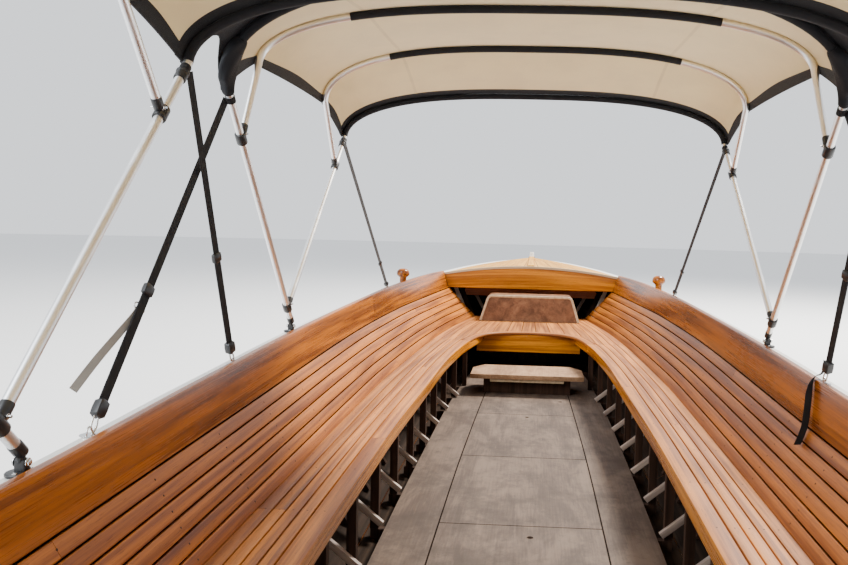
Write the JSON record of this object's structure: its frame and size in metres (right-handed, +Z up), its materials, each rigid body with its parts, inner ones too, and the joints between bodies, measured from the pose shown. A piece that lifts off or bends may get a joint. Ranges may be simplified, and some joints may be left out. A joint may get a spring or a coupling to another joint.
{
  "type": "longtail passenger boat",
  "caption": "Open wooden longtail passenger boat: varnished hull, slatted side benches with backrests, two cloth tops on bent tubes, and a long-shaft motor at the stern.",
  "frame": {"origin": "on the centreline amidships, at the waterline of the empty boat afloat", "axes": "+X towards the bow, +Y to port, +Z up"},
  "size_m": [15.5672, 2.1064, 2.2511],
  "materials": {
    "varnish": "gloss orange-brown varnish",
    "bottom": "dark oiled planks",
    "frames": "dark unvarnished frames",
    "slats": "satin pinkish-brown varnish",
    "plywood": "worn grey-brown plywood",
    "white_paint": "white gloss paint",
    "deck": "pale varnished planks",
    "tube": "polished",
    "canopy_cloth": "cream coated cloth",
    "webbing": "black webbing",
    "engine_paint": "worn grey paint",
    "steel": "dull steel",
    "worn_iron": "rusty iron",
    "bronze": "worn bronze"
  },
  "bodies": {
    "root": {"hull_side_port": "varnish", "hull_side_starboard": "varnish", "hull_quarter_port": "varnish", "hull_quarter_starboard": "varnish", "transom": "varnish", "coaming_port": "varnish", "coaming_starboard": "varnish", "deck_beam": "varnish", "aft_bulkhead": "varnish", "helm_thwart": "varnish", "bollard_port": "varnish", "bollard_starboard": "varnish", "hull_bottom": "bottom", "keel_and_stem": "bottom", "floor_timbers": "frames", "forepeak_frame": "frames", "frames_port": "frames", "frames_starboard": "frames", "bench_aft_port": "slats", "bench_aft_starboard": "slats", "bench_fore_port": "slats", "bench_fore_starboard": "slats", "bench_bow": "slats", "backrest_port": "slats", "backrest_starboard": "slats", "floor": "plywood", "step_board": "plywood", "bow_box": "plywood", "rail_port": "white_paint", "rail_starboard": "white_paint", "foredeck": "deck", "afterdeck": "deck", "fore_bow_a": "tube", "fore_bow_b": "tube", "fore_bow_c": "tube", "fore_bow_d": "tube", "aft_bow_a": "tube", "aft_bow_b": "tube", "aft_bow_c": "tube", "aft_bow_d": "tube", "fore_canopy": "canopy_cloth", "aft_canopy": "canopy_cloth", "canopy_connector": "webbing", "stay_aft_a_port": "webbing", "stay_aft_a_starboard": "webbing", "stay_aft_d_port": "webbing", "stay_aft_d_starboard": "webbing", "stay_fore_a_port": "webbing", "stay_fore_a_starboard": "webbing", "stay_fore_d_port": "webbing", "stay_fore_d_starboard": "webbing", "motor_pillar": "steel"},
    "motor_swivel": {"motor_yoke": "steel"},
    "motor_tilt": {"motor_cradle": "worn_iron", "engine": "engine_paint", "exhaust": "worn_iron", "tiller": "steel", "shaft_tube": "steel"},
    "propeller": {"propeller": "bronze"}
  },
  "joints": [
    {"name": "motor_steer", "type": "hinge", "parent": "root", "child": "motor_swivel", "pos_m": [-5.8, 0, 0.82], "axis": [0, 0, 1], "range_deg": [-40, 40]},
    {"name": "motor_lift", "type": "hinge", "parent": "motor_swivel", "child": "motor_tilt", "pos_m": [-5.8, 0, 0.98], "axis": [0, 1, 0], "range_deg": [-9, 12]},
    {"name": "propeller_spin", "type": "hinge", "parent": "motor_tilt", "child": "propeller", "pos_m": [-5.83015, 0, 1.12183], "axis": [0.9781, 0, 0.2079], "continuous": true}
  ]
}
